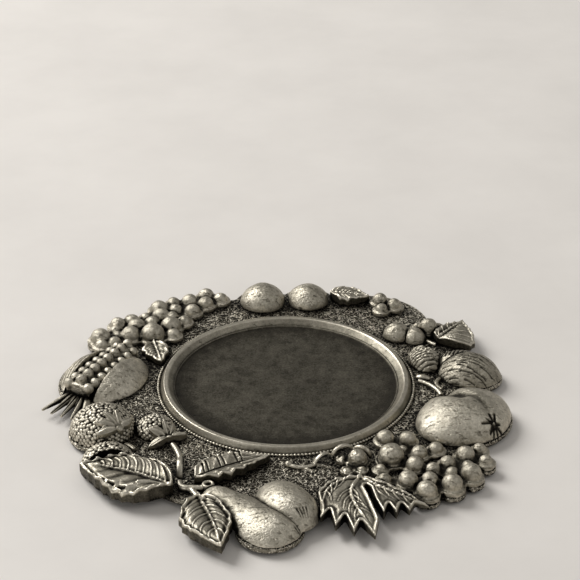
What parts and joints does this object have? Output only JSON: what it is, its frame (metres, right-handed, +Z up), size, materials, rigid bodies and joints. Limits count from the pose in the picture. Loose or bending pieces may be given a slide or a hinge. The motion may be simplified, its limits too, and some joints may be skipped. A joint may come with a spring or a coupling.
{
  "type": "wine bottle coaster",
  "caption": "Round cast-pewter wine bottle coaster: a shallow lipped well for the bottle inside a wreath of fruit, corn, nuts and leaves in high relief.",
  "frame": {"origin": "axis of the bottle well, on the table face of the felt pad", "axes": "+Z up along the well's axis, +X to the right of the picture, -Y towards the viewer of the picture"},
  "size_m": [0.1733, 0.1775, 0.0137],
  "materials": {
    "pewter_ground": "antiqued pewter, stippled and darkened",
    "pewter_well": "antiqued pewter, satin",
    "pewter_foliage": "antiqued pewter, rubbed bright on the edges",
    "pewter_fruit": "antiqued pewter, rubbed bright on top",
    "felt": "felt"
  },
  "bodies": {
    "root": {"almond": "pewter_fruit", "almond_hull": "pewter_fruit", "apple": "pewter_fruit", "apple_hook": "pewter_foliage", "apple_pod": "pewter_foliage", "apple_stem": "pewter_foliage", "back_berries": "pewter_fruit", "base_plate": "pewter_ground", "beaded_wire": "pewter_well", "berry_sprig": "pewter_fruit", "cherry_large": "pewter_fruit", "cherry_leaf": "pewter_foliage", "cherry_small": "pewter_fruit", "cherry_twig": "pewter_foliage", "corn_cob": "pewter_fruit", "corn_husk_inner": "pewter_fruit", "corn_husk_outer": "pewter_fruit", "corn_stalk": "pewter_fruit", "felt_pad": "felt", "grape_leaf_left": "pewter_foliage", "grapes_left": "pewter_fruit", "grapes_right": "pewter_fruit", "hazelnut": "pewter_fruit", "hazelnut_frill": "pewter_foliage", "peach_leaf": "pewter_foliage", "peach_left": "pewter_fruit", "peach_right": "pewter_fruit", "pear_back": "pewter_fruit", "pear_front": "pewter_fruit", "pear_leaf_front": "pewter_foliage", "pear_leaf_inner": "pewter_foliage", "pear_leaf_large": "pewter_foliage", "pear_stem": "pewter_foliage", "strawberry_calyx_large": "pewter_foliage", "strawberry_calyx_small": "pewter_foliage", "strawberry_large": "pewter_fruit", "strawberry_small": "pewter_fruit", "strawberry_stem_large": "pewter_foliage", "strawberry_stem_small": "pewter_foliage", "strawberry_tucked": "pewter_fruit", "vine_bud": "pewter_foliage", "vine_leaf": "pewter_foliage", "vine_tendril": "pewter_foliage", "well_cup": "pewter_well"}
  },
  "joints": []
}
